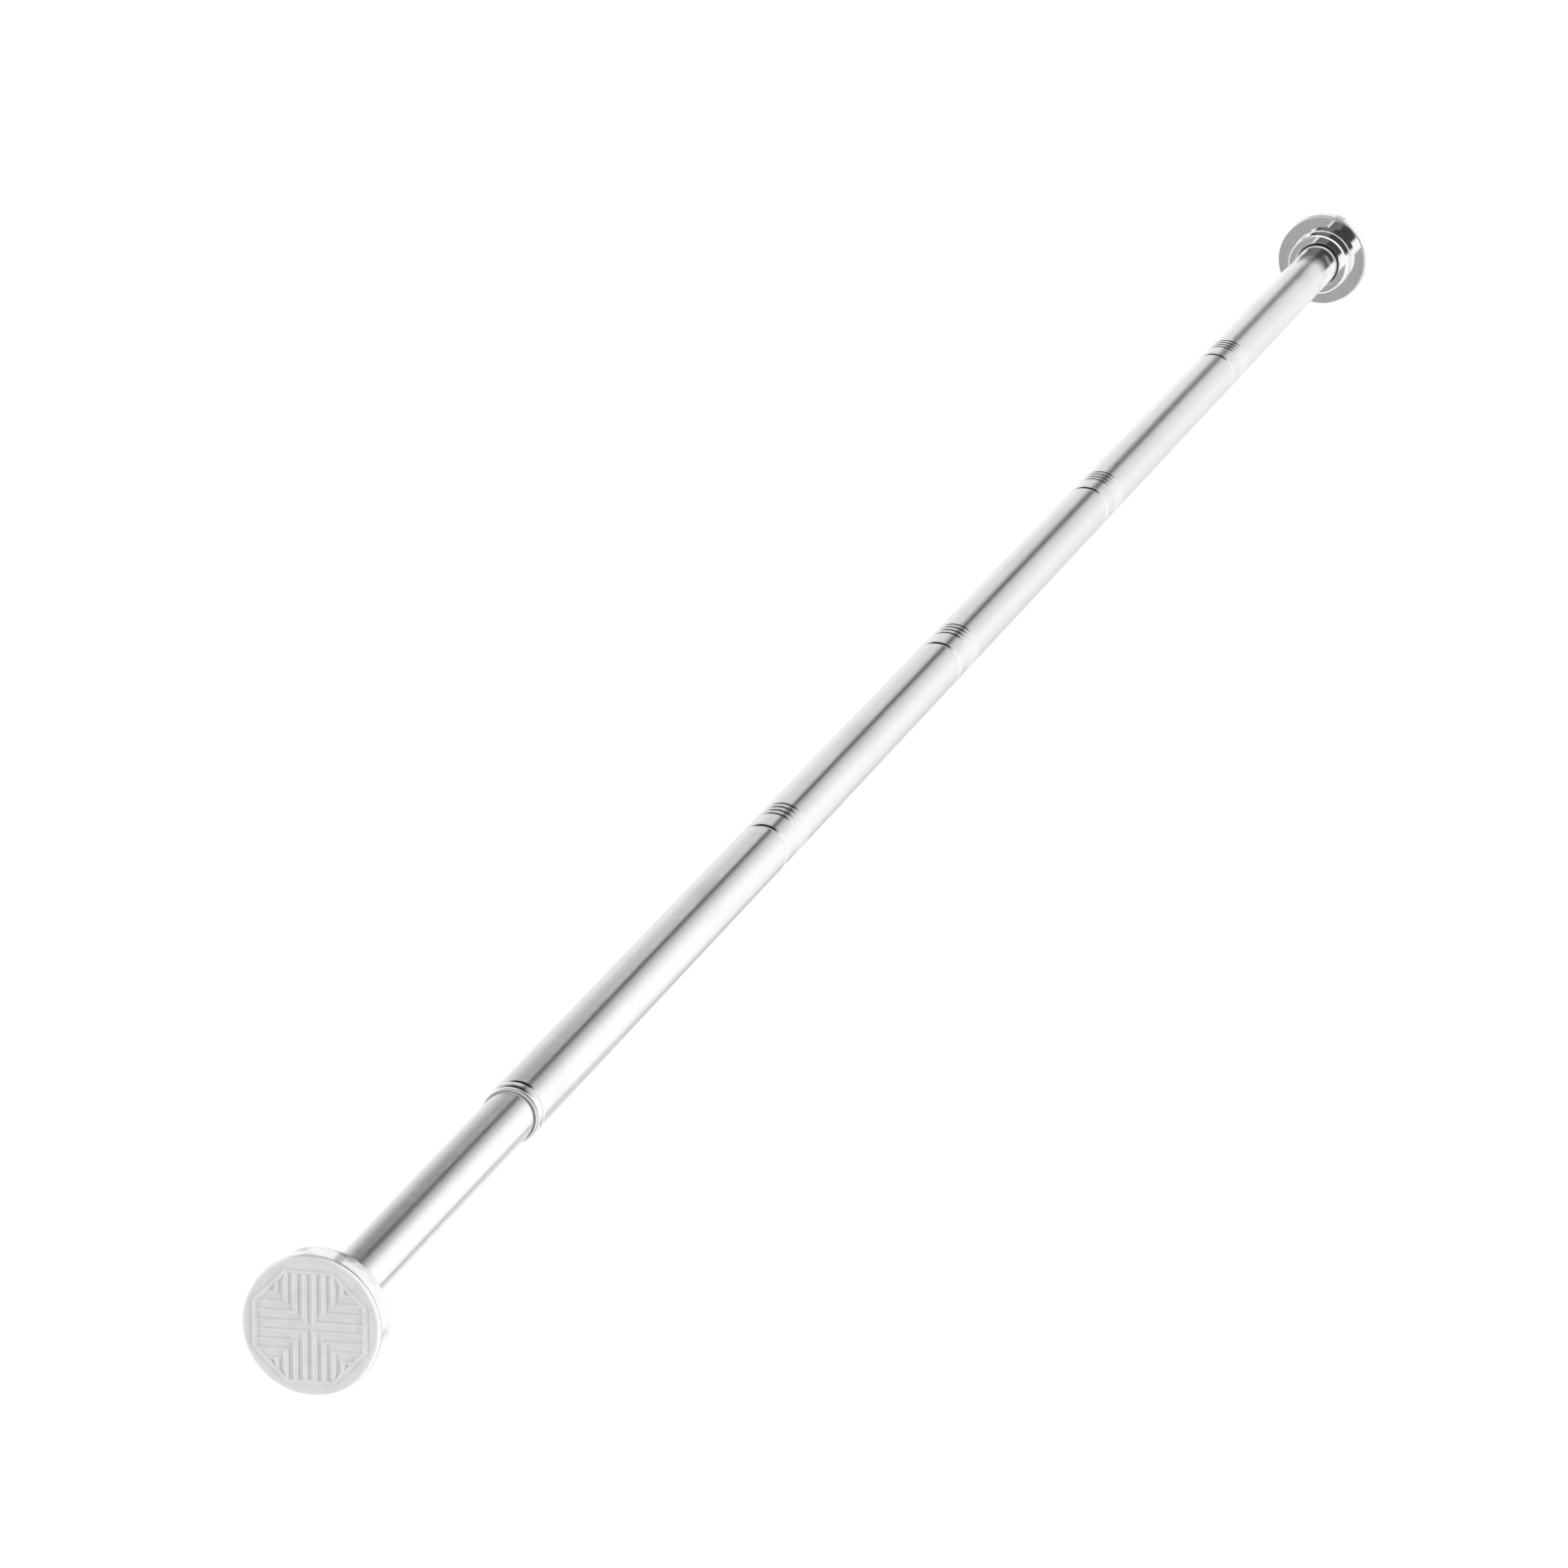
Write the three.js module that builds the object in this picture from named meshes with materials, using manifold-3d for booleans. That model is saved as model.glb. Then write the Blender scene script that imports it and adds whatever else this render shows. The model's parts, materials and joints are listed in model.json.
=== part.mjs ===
// A telescopic doorway pull-up bar: a main bar spliced from five tubes, an inner tube that a
// spindle screws out of it, and at each end a swivelling flange with a ribbed rubber pad.
// Millimetres. The bar lies along X. The fixed end's wall plane is x = 0, +Z is up.

import * as THREE from "three";
import { mergeVertices } from "three/addons/utils/BufferGeometryUtils.js";
import Module from "manifold-3d";

const wasm = await Module();
wasm.setup();

// ---- Driving dimensions ----

// Tubes
const mainTubeRadius = 12.5;
const mainTubeWall = 1.0;
const innerTubeRadius = 11.0;
const innerTubeWall = 1.0;
const endTubeLength = 356; // from the fixed flange to the first seam
const segmentLength = 375; // from seam to seam
const middleTubeCount = 3;
const mouthTubeLength = 435; // from the last seam to the collar
const exposedLength = 262; // inner tube seen between the collar and the moving flange
const seamGap = 0.3;

// Rolled grooves that hold each sleeve
const grooveCount = 4;
const grooveStart = 23;
const groovePitch = 6.2;
const grooveWidth = 2.6;
const grooveDepth = 0.45;

// Sleeves across the seams
const sleeveWall = 1.5;
const sleeveGripLength = 55;
const sleevePlugLength = 55;

// Collar and liner at the main bar's mouth
const collarLength = 8;
const collarProud = 0.2;
const collarBevel = 0.5;
const linerDepth = 30;
const linerFlangeThickness = 0.8;
const linerFlangeMargin = 0.5;

// Flange shell
const rimRadius = 27.8;
const rimDepth = 12;
const rimRound = 1.2;
const tierRadius = 18.3;
const tierDepth = 15;
const tierFillet = 1.5;
const tierBevel = 0.8;
const boreBevel = 1.2;
const boreClearance = 0.4;
const shellWall = 1.2;
const lipChamfer = 0.4;

// Rubber pad
const padThickness = 6.5;
const padProud = 2; // pad face in front of the shell's lip
const padClearance = 0.5;
const padEdgeRound = 1.6;
const ridgeHeight = 0.5;
const ridgeWidth = 1.4;
const ridgePitch = 3.76;
const ridgeRoot = 0.8; // how deep a ridge is joined into the pad
const apronMargin = 0.4; // how far the pad's apron over the lip stays inside the rim
const borderMargin = 1.66; // from the octagon's corners to the rounding of the pad's edge

// Core, pivot screw, washer and tube plug inside each flange
const hubLength = 8;
const screwShankRadius = 3;
const screwThreadRadius = 2.5;
const screwThreadLength = 18;
const screwHeadRadius = 6;
const screwHeadThickness = 3.5;
const screwSocketAcross = 5;
const screwSocketDepth = 2;
const headClearance = 1;
const washerThickness = 1.5;
const washerRadius = 9;
const plugFlangeThickness = 2;
const plugLength = 24;

// Screw drive
const spindleRadius = 6;
const spindleTail = 18; // behind the anchor, for the lock nut
const spindleChamfer = 1;
const spindleStep = 1; // turned down at the free end, for the stop ring
const anchorLength = 25;
const lockNutAcross = 16;
const lockNutThickness = 6;
const driveNutLength = 30;
const tailBushLength = 6;
const driveTravelOut = 100;
const driveTravelIn = 160;
const stopRingThickness = 3;
const stopRingClearance = 1.5; // on the radius, inside the inner tube
const stopMargin = 5;

// Fits
const seatGap = 0.3; // between faces that rest on each other
const pressClearance = 0.1; // on the radius, between pressed pieces
const runningClearance = 0.1; // on the radius, between pieces that turn or slide
const cutOver = 1; // how far a cutting tool reaches past the face it cuts

// Facets round each turned piece
const tubeSides = 32;
const shellSides = 44;
const smallSides = 24;

// ---- Places that follow from the sizes ----

// Distances from a wall plane, the same at both ends
const lipX = ridgeHeight + padProud;
const discX = lipX + rimDepth;
const tierX = discX + tierDepth;
const padBackX = ridgeHeight + padThickness;
const coreFrontX = padBackX + seatGap;
const coreDiscX = discX - shellWall - seatGap;
const hubX = coreDiscX + hubLength;
const washerX = hubX + seatGap;
const plugX = washerX + washerThickness + seatGap;
const tubeX = plugX + plugFlangeThickness + seatGap;

// Distances from the fixed wall plane
const firstSeamX = tubeX + endTubeLength;
const seams = Array.from({ length: middleTubeCount + 1 }, (_, i) => firstSeamX + i * segmentLength);
const lastSeamX = seams[seams.length - 1];
const mouthX = lastSeamX + mouthTubeLength;
const collarFrontX = mouthX + seatGap + collarLength;
const movingWallX = collarFrontX + exposedLength + tierX;
const anchorX = lastSeamX + sleevePlugLength + seatGap;
const innerStopX = anchorX + anchorLength + stopMargin;
const innerStartX = innerStopX + driveTravelIn + tailBushLength + seatGap;
const innerEndX = movingWallX - tubeX;
const driveNutX = innerStartX + seatGap;
const driveNutEndX = driveNutX + driveNutLength;
const stopRingX = driveNutEndX + driveTravelOut + stopMargin;
const spindleEndX = stopRingX + stopRingThickness + seatGap;
const spindleStartX = anchorX - spindleTail;

const mainBore = mainTubeRadius - mainTubeWall;
const innerBore = innerTubeRadius - innerTubeWall;
const linerBore = innerTubeRadius + runningClearance;
const padRadius = rimRadius - shellWall - padClearance;
const apronRadius = rimRadius - apronMargin;
const octagonCorner = apronRadius - padEdgeRound - borderMargin;
const octagonApothem = octagonCorner * Math.cos(Math.PI / 8) - ridgeWidth / 2;
const spindleBore = spindleRadius + runningClearance;

// ---- Materials ----

const finishes = {
  stainless: { color: 0xc9cacb, roughness: 0.32, metalness: 1.0 },
  chrome: { color: 0xdcdddf, roughness: 0.06, metalness: 1.0 },
  rubber: { color: 0xd9d9d8, roughness: 0.62, metalness: 0.0 },
  nylon: { color: 0xeeece6, roughness: 0.5, metalness: 0.0 },
  liner: { color: 0x3a3b3d, roughness: 0.55, metalness: 0.0 },
  zinc: { color: 0xa9abad, roughness: 0.38, metalness: 1.0 },
  brass: { color: 0xb9934c, roughness: 0.35, metalness: 1.0 },
};

// ---- Shape helpers ----

// Twice the area that a closed outline encloses, positive when it runs anticlockwise.
function outlineArea(points) {
  return points.reduce((sum, [x, r], i) => {
    const [nextX, nextR] = points[(i + 1) % points.length];
    return sum + x * nextR - nextX * r;
  }, 0);
}

// A solid turned about X from an outline of [x, radius] points, which is closed on itself.
function turned(outline, sides) {
  const points = outlineArea(outline) > 0 ? [...outline].reverse() : [...outline];
  const onAxis = points.findIndex(([, r], i) => r === 0 && points[(i + 1) % points.length][1] !== 0);
  const ordered = onAxis < 0 ? points : [...points.slice(onAxis), ...points.slice(0, onAxis)];
  const closed = onAxis < 0 ? [...ordered, ordered[0]] : ordered;
  const profile = closed.map(([x, r]) => new THREE.Vector2(r, x));
  return new THREE.LatheGeometry(profile, sides).rotateZ(-Math.PI / 2);
}

// Points on an arc about [x, r], from one angle to another in degrees, measured from +X to +r.
function arc(x, r, radius, from, to, steps) {
  return Array.from({ length: steps + 1 }, (_, i) => {
    const angle = THREE.MathUtils.degToRad(from + ((to - from) * i) / steps);
    return [x + radius * Math.cos(angle), r + radius * Math.sin(angle)];
  });
}

// A plain pipe from one x to another.
function pipe(x0, x1, outer, bore, sides) {
  const outline = [
    [x0, outer],
    [x1, outer],
    [x1, bore],
    [x0, bore],
  ];
  return turned(outline, sides);
}

function solidOf(geometry) {
  const bare = geometry.clone();
  bare.deleteAttribute("normal");
  bare.deleteAttribute("uv");
  const merged = mergeVertices(bare, 1e-4);
  const corners = Array.from(merged.index.array);
  const faces = [];
  for (let i = 0; i < corners.length; i += 3) {
    const [a, b, c] = corners.slice(i, i + 3);
    if (a !== b && b !== c && c !== a) {
      faces.push(a, b, c);
    }
  }
  const mesh = new wasm.Mesh({
    numProp: 3,
    vertProperties: new Float32Array(merged.attributes.position.array),
    triVerts: new Uint32Array(faces),
  });
  return new wasm.Manifold(mesh);
}

function geometryOf(solid) {
  const mesh = solid.getMesh();
  const geometry = new THREE.BufferGeometry();
  geometry.setAttribute("position", new THREE.BufferAttribute(new Float32Array(mesh.vertProperties), 3));
  geometry.setIndex(new THREE.BufferAttribute(new Uint32Array(mesh.triVerts), 1));
  geometry.computeVertexNormals();
  return geometry;
}

function joined(geometries) {
  return geometryOf(geometries.map(solidOf).reduce((sum, solid) => sum.add(solid)));
}

function cut(geometry, ...tools) {
  return geometryOf(tools.map(solidOf).reduce((rest, tool) => rest.subtract(tool), solidOf(geometry)));
}

function place(parent, name, geometry, finish) {
  const mesh = new THREE.Mesh(geometry, new THREE.MeshStandardMaterial(finishes[finish]));
  mesh.name = name;
  parent.add(mesh);
}

// A hexagonal prism along X.
function hexPrism(x0, x1, acrossFlats) {
  const radius = acrossFlats / 2 / Math.cos(Math.PI / 6);
  const prism = new THREE.CylinderGeometry(radius, radius, x1 - x0, 6);
  return prism.rotateZ(-Math.PI / 2).translate((x0 + x1) / 2, 0, 0);
}

// ---- Rubber pad ----

// How far a ridge at this offset runs before it meets the octagon's border.
function ridgeReach(offset) {
  return Math.min(octagonApothem, octagonApothem * Math.SQRT2 - Math.abs(offset));
}

// An octagon with its flats up, down, left and right, as a path or a shape.
function octagon(path, apothem) {
  const radius = apothem / Math.cos(Math.PI / 8);
  const points = Array.from({ length: 8 }, (_, i) => {
    const angle = Math.PI / 8 + (i * Math.PI) / 4;
    return new THREE.Vector2(radius * Math.cos(angle), radius * Math.sin(angle));
  });
  return path.setFromPoints(points);
}

// The raised border round the ribbed field.
function padBorder(rise) {
  const outline = octagon(new THREE.Shape(), octagonApothem + ridgeWidth / 2);
  outline.holes.push(octagon(new THREE.Path(), octagonApothem - ridgeWidth / 2));
  const border = new THREE.ExtrudeGeometry(outline, { depth: rise, bevelEnabled: false });
  return border.rotateY(Math.PI / 2);
}

// One ridge from the diagonal to the border. Upright ridges stand above and below the middle,
// level ones to its left and right, and the two that share an offset meet in an L.
function padRidge(offset, side, upright, rise) {
  const start = Math.abs(offset) - ridgeWidth / 2;
  const length = ridgeReach(offset) - start;
  const middle = side * (start + length / 2);
  const ridge = upright
    ? new THREE.BoxGeometry(rise, ridgeWidth, length)
    : new THREE.BoxGeometry(rise, length, ridgeWidth);
  return ridge.translate(rise / 2, upright ? offset : middle, upright ? middle : offset);
}

function padRidges(rise) {
  const widest = octagonApothem / Math.SQRT2 - ridgeWidth;
  const ridges = [];
  for (let offset = ridgePitch / 2; offset < widest; offset += ridgePitch) {
    for (const upright of [true, false]) {
      for (const side of [-1, 1]) {
        ridges.push(padRidge(offset, side, upright, rise));
        ridges.push(padRidge(-offset, side, upright, rise));
      }
    }
  }
  return ridges;
}

// The pad's apron covers the shell's lip, and the rest of it plugs the shell.
function pad() {
  const rise = ridgeHeight + ridgeRoot;
  const apronBackX = lipX - seatGap;
  const outline = [
    [padBackX, 0],
    [ridgeHeight, 0],
    ...arc(ridgeHeight + padEdgeRound, apronRadius - padEdgeRound, padEdgeRound, 180, 90, 4),
    [apronBackX, apronRadius],
    [apronBackX, padRadius],
    [padBackX, padRadius],
  ];
  return joined([turned(outline, shellSides), padBorder(rise), ...padRidges(rise)]);
}

// ---- Flange ----

function shell(tubeRadius) {
  const bore = tubeRadius + boreClearance;
  const inside = rimRadius - shellWall;
  const outline = [
    [lipX, inside + lipChamfer],
    [lipX, rimRadius - lipChamfer],
    [lipX + lipChamfer, rimRadius],
    ...arc(discX - rimRound, rimRadius - rimRound, rimRound, 90, 0, 3),
    ...arc(discX + tierFillet, tierRadius + tierFillet, tierFillet, 180, 270, 3),
    [tierX - tierBevel, tierRadius],
    [tierX, tierRadius - tierBevel],
    [tierX, bore + boreBevel],
    [tierX - boreBevel, bore],
    [tierX - boreBevel, tierRadius - shellWall],
    [discX - shellWall, tierRadius - shellWall],
    [discX - shellWall, inside],
    [lipX + lipChamfer, inside],
  ];
  return turned(outline, shellSides);
}

// The moulded core fills the shell behind the pad and carries the pivot screw.
function core() {
  const discRadius = rimRadius - shellWall - pressClearance;
  const hubRadius = tierRadius - shellWall - pressClearance;
  const screwBore = screwShankRadius + runningClearance;
  const headBore = screwHeadRadius + headClearance;
  const headSeatX = coreFrontX + headClearance + screwHeadThickness + seatGap;
  const outline = [
    [coreFrontX, headBore],
    [coreFrontX, discRadius],
    [coreDiscX, discRadius],
    [coreDiscX, hubRadius],
    [hubX, hubRadius],
    [hubX, screwBore],
    [headSeatX, screwBore],
    [headSeatX, headBore],
  ];
  return turned(outline, tubeSides);
}

function pivotScrew() {
  const headX = coreFrontX + headClearance;
  const neckX = headX + screwHeadThickness;
  const shoulderX = plugX - seatGap;
  const outline = [
    [headX, 0],
    [headX, screwHeadRadius],
    [neckX, screwHeadRadius],
    [neckX, screwShankRadius],
    [shoulderX, screwShankRadius],
    [shoulderX, screwThreadRadius],
    [shoulderX + screwThreadLength, screwThreadRadius],
    [shoulderX + screwThreadLength, 0],
  ];
  const socket = hexPrism(headX - cutOver, headX + screwSocketDepth, screwSocketAcross);
  return cut(turned(outline, smallSides), socket);
}

function thrustWasher() {
  const bore = screwShankRadius + runningClearance;
  return pipe(washerX, washerX + washerThickness, washerRadius, bore, smallSides);
}

// The plug pressed into a tube's end, which the pivot screw is driven into.
function tubePlug(tubeRadius, tubeBore) {
  const threadBore = screwThreadRadius + pressClearance;
  const bodyRadius = tubeBore - pressClearance;
  const flangeX = plugX + plugFlangeThickness;
  const outline = [
    [plugX, threadBore],
    [plugX, tubeRadius],
    [flangeX, tubeRadius],
    [flangeX, bodyRadius],
    [flangeX + plugLength, bodyRadius],
    [flangeX + plugLength, threadBore],
  ];
  return turned(outline, tubeSides);
}

// One flange with its pad and pivot, in a group whose wall plane is its own x = 0.
function flange(name, tubeRadius, tubeBore) {
  const group = new THREE.Group();
  place(group, `${name}_pad`, pad(), "rubber");
  place(group, `${name}_shell`, shell(tubeRadius), "chrome");
  place(group, `${name}_core`, core(), "nylon");
  place(group, `${name}_pivot_screw`, pivotScrew(), "zinc");
  place(group, `${name}_thrust_washer`, thrustWasher(), "zinc");
  place(group, `${name}_tube_plug`, tubePlug(tubeRadius, tubeBore), "nylon");
  return group;
}

// ---- Main bar ----

// Outline points of one rolled groove, in the order of rising x.
function groove(middleX) {
  return [
    [middleX - grooveWidth / 2, mainTubeRadius],
    [middleX, mainTubeRadius - grooveDepth],
    [middleX + grooveWidth / 2, mainTubeRadius],
  ];
}

// A main tube whose grooves lie just short of its far end, where its sleeve is held.
function groovedTube(x0, x1) {
  const grooves = Array.from({ length: grooveCount }, (_, i) => {
    return groove(x1 - grooveStart - (grooveCount - 1 - i) * groovePitch);
  });
  const outline = [
    [x0, mainTubeRadius],
    ...grooves.flat(),
    [x1, mainTubeRadius],
    [x1, mainBore],
    [x0, mainBore],
  ];
  return turned(outline, tubeSides);
}

function addMainTubes(parent) {
  const starts = [tubeX, ...seams.map((x) => x + seamGap)];
  seams.forEach((seamX, i) => {
    place(parent, `main_tube_${i + 1}`, groovedTube(starts[i], seamX), "stainless");
  });
  const last = pipe(starts[seams.length], mouthX, mainTubeRadius, mainBore, tubeSides);
  place(parent, `main_tube_${seams.length + 1}`, last, "stainless");
}

function addSleeves(parent) {
  const outer = mainBore - pressClearance;
  seams.forEach((seamX, i) => {
    const sleeve = pipe(
      seamX - sleeveGripLength,
      seamX + sleevePlugLength,
      outer,
      outer - sleeveWall,
      tubeSides,
    );
    place(parent, `coupling_sleeve_${i + 1}`, sleeve, "zinc");
  });
}

function collar() {
  const outer = mainTubeRadius + collarProud;
  const startX = mouthX + seatGap;
  const outline = [
    [startX, mainBore],
    [startX, outer - collarBevel],
    [startX + collarBevel, outer],
    [collarFrontX - collarBevel, outer],
    [collarFrontX, outer - collarBevel],
    [collarFrontX, mainBore],
  ];
  return turned(outline, tubeSides);
}

// The thin plastic liner that the inner tube slides in, with its flange outside the collar.
function mouthLiner() {
  const body = mainBore - pressClearance;
  const flangeX = collarFrontX + seatGap;
  const flangeEndX = flangeX + linerFlangeThickness;
  const flangeRadius = mainTubeRadius - linerFlangeMargin;
  const outline = [
    [mouthX - linerDepth, linerBore],
    [mouthX - linerDepth, body],
    [flangeX, body],
    [flangeX, flangeRadius],
    [flangeEndX, flangeRadius],
    [flangeEndX, linerBore],
  ];
  return turned(outline, tubeSides);
}

function spindle() {
  const outline = [
    [spindleStartX, 0],
    [spindleStartX, spindleRadius - spindleChamfer],
    [spindleStartX + spindleChamfer, spindleRadius],
    [stopRingX - seatGap, spindleRadius],
    [stopRingX - seatGap, spindleRadius - spindleStep],
    [spindleEndX, spindleRadius - spindleStep],
    [spindleEndX, 0],
  ];
  return turned(outline, smallSides);
}

function addSpindle(parent) {
  const anchorOuter = mainBore - pressClearance;
  const anchorBore = spindleRadius + pressClearance;
  const anchor = pipe(anchorX, anchorX + anchorLength, anchorOuter, anchorBore, tubeSides);
  const nutEndX = anchorX - seatGap;
  const nutStartX = nutEndX - lockNutThickness;
  const nutHole = pipe(nutStartX - cutOver, nutEndX + cutOver, anchorBore, 0, smallSides);
  const lockNut = cut(hexPrism(nutStartX, nutEndX, lockNutAcross), nutHole);
  const stopBore = spindleRadius - spindleStep + pressClearance;
  const stopEndX = stopRingX + stopRingThickness;
  const stopOuter = innerBore - stopRingClearance;
  const stopRing = pipe(stopRingX, stopEndX, stopOuter, stopBore, smallSides);
  place(parent, "spindle", spindle(), "zinc");
  place(parent, "spindle_anchor", anchor, "zinc");
  place(parent, "spindle_lock_nut", lockNut, "zinc");
  place(parent, "spindle_stop_ring", stopRing, "zinc");
}

// ---- Inner bar ----

function addInnerBar(parent) {
  const tube = pipe(innerStartX, innerEndX, innerTubeRadius, innerBore, tubeSides);
  const nutOuter = innerBore - pressClearance;
  const nut = pipe(driveNutX, driveNutEndX, nutOuter, spindleBore, tubeSides);
  const bushOuter = mainBore - runningClearance;
  const bushEndX = innerStartX - seatGap;
  const bush = pipe(bushEndX - tailBushLength, bushEndX, bushOuter, spindleBore, tubeSides);
  place(parent, "inner_tube", tube, "stainless");
  place(parent, "drive_nut", nut, "brass");
  place(parent, "tail_bush", bush, "nylon");
}

// ---- Assembly ----

const group = new THREE.Group();
group.add(flange("fixed", mainTubeRadius, mainBore));
addMainTubes(group);
addSleeves(group);
place(group, "mouth_collar", collar(), "stainless");
place(group, "mouth_liner", mouthLiner(), "liner");
addSpindle(group);
addInnerBar(group);

const movingEnd = flange("moving", innerTubeRadius, innerBore);
movingEnd.position.x = movingWallX;
movingEnd.rotation.z = Math.PI;
group.add(movingEnd);

export default group;
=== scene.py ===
import bpy
import bmesh
import json
import math
import numpy as np
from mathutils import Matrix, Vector

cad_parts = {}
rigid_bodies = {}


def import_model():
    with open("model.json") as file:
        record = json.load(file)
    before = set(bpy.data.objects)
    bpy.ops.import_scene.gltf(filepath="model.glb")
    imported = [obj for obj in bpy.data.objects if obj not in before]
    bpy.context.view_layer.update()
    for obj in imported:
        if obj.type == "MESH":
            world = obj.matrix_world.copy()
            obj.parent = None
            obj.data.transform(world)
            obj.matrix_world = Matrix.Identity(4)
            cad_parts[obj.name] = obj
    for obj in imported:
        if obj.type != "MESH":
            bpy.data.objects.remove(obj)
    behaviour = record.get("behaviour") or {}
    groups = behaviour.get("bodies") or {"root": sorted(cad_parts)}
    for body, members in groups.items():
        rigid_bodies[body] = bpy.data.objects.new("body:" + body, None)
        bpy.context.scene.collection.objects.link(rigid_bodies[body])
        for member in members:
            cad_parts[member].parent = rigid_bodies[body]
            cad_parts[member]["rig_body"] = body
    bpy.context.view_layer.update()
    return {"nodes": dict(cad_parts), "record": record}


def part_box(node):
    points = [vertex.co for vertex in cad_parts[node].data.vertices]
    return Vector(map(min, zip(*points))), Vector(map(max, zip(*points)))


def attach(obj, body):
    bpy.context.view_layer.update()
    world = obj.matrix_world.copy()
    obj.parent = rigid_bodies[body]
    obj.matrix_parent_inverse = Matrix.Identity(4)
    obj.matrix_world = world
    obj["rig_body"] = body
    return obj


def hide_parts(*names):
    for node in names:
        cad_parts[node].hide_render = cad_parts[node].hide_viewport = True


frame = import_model()
mm = 0.001


# A socket of a node tree. Arithmetic on it adds Math nodes to the same tree.
class Field:
    def __init__(self, graph, socket):
        self.graph = graph
        self.socket = socket

    def math(self, operation, *values):
        return self.graph.node("ShaderNodeMath", {"operation": operation}, dict(enumerate(values)))

    def __add__(self, other):
        return self.math("ADD", self, other)

    def __sub__(self, other):
        return self.math("SUBTRACT", self, other)

    def __rsub__(self, other):
        return self.math("SUBTRACT", other, self)

    def __mul__(self, other):
        return self.math("MULTIPLY", self, other)

    def __truediv__(self, other):
        return self.math("DIVIDE", self, other)

    __radd__ = __add__
    __rmul__ = __mul__

    # 0 below low, 1 above high, and an S curve between them.
    def step(self, low, high):
        return self.graph.node("ShaderNodeMapRange", {"interpolation_type": "SMOOTHSTEP"},
                               {"Value": self, "From Min": low, "From Max": high})


# A node tree that is emptied first and filled by node().
class Graph:
    def __init__(self, tree):
        self.tree = tree
        tree.nodes.clear()

    # Adds one node: its settings first, then its sockets, each a number, a colour or a Field.
    def node(self, kind, settings=None, sockets=None, output=0):
        made = self.tree.nodes.new(kind)
        for name, value in (settings or {}).items():
            if name == "stops":
                self.setStops(made.color_ramp, value)
            else:
                setattr(made, name, value)
        for name, value in (sockets or {}).items():
            if isinstance(value, Field):
                self.tree.links.new(value.socket, made.inputs[name])
            else:
                made.inputs[name].default_value = value
        return Field(self, made.outputs[output]) if len(made.outputs) else made

    def setStops(self, ramp, stops):
        while len(ramp.elements) < len(stops):
            ramp.elements.new(0.5)
        for element, (place, colour) in zip(ramp.elements, stops):
            element.position = place
            element.color = (*colour, 1.0)

    # Noise on the piece's own coordinates, stretched by a scale per axis, from 0 to 1.
    def noise(self, scale, detail):
        place = self.node("ShaderNodeTexCoord", output=3)
        stretched = self.node("ShaderNodeMapping", {"vector_type": "POINT"},
                              {"Vector": place, "Scale": scale})
        return self.node("ShaderNodeTexNoise", None,
                         {"Vector": stretched, "Scale": 1.0, "Detail": detail})

    # A colour between two others.
    def blendColour(self, share, first, second):
        return self.node("ShaderNodeMix", {"data_type": "RGBA"},
                         {0: share, 6: (*first, 1.0), 7: (*second, 1.0)}, output=2)

    # The surface's direction, tilted by the slope of a height field. Distance is its full swing.
    def bump(self, height, distance):
        return self.node("ShaderNodeBump", None, {"Height": height, "Distance": distance})


camera = {
    "place": (5.2832, 0.9015, 1.0081),
    "aim": (1.3187, -0.0333, -0.0160),
    "lens": 201.6,
    "sensor": 36.0,
    "farLimit": 200.0,
}


# The camera stands at its place, and its own -Z is turned along the line from there to its aim.
def makeCamera(c):
    lens = bpy.data.cameras.new("camera")
    lens.lens = c["lens"]
    lens.sensor_width = c["sensor"]
    lens.clip_end = c["farLimit"]
    holder = bpy.data.objects.new("camera", lens)
    holder.location = c["place"]
    sight = Vector(c["aim"]) - Vector(c["place"])
    holder.rotation_euler = sight.to_track_quat("-Z", "Y").to_euler()
    bpy.context.scene.collection.objects.link(holder)
    bpy.context.scene.camera = holder


makeCamera(camera)
print("camera placed")

roundSides = 144  # facets round each turned piece


# Rounds the corners of a closed outline. Each corner becomes an arc tangent to both its sides:
# its centre is on the corner's bisector at radius / sin(half angle), and the arc's directions
# are the two side normals blended by their angle. A point is added just before and after each
# arc, so that the shading stays level along the straight sides.
def roundedOutline(points, radii, steps=5):
    corner = np.array(points, float)
    radius = np.broadcast_to(np.array(radii, float), len(corner))[:, None]
    before = np.roll(corner, 1, axis=0) - corner
    after = np.roll(corner, -1, axis=0) - corner
    beforeLength = np.linalg.norm(before, axis=1, keepdims=True)
    afterLength = np.linalg.norm(after, axis=1, keepdims=True)
    before, after = before / beforeLength, after / afterLength
    angle = np.arccos(np.clip((before * after).sum(1, keepdims=True), -1, 1))
    reach = radius / np.tan(angle / 2)
    bisector = before + after
    bisector /= np.maximum(np.linalg.norm(bisector, axis=1, keepdims=True), 1e-9)
    centre = corner + bisector * radius / np.sin(angle / 2)
    turn = np.maximum(np.pi - angle, 1e-6)
    share = np.linspace(0, 1, steps + 1)[None, :, None]
    start = (corner + before * reach - centre)[:, None, :]
    end = (corner + after * reach - centre)[:, None, :]
    bend = turn[:, None, :]
    sweep = start * np.sin((1 - share) * bend) + end * np.sin(share * bend)
    arc = centre[:, None, :] + sweep / np.sin(bend)
    lead = np.minimum(reach + 0.25 * radius, 0.5 * np.minimum(beforeLength, afterLength))
    lead = np.maximum(lead, reach)
    first = (corner + before * lead)[:, None, :]
    last = (corner + after * lead)[:, None, :]
    line = np.concatenate([first, arc, last], axis=1).reshape(-1, 2)
    keep = np.linalg.norm(line - np.roll(line, 1, axis=0), axis=1) > 1e-6
    return line[keep]


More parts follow.
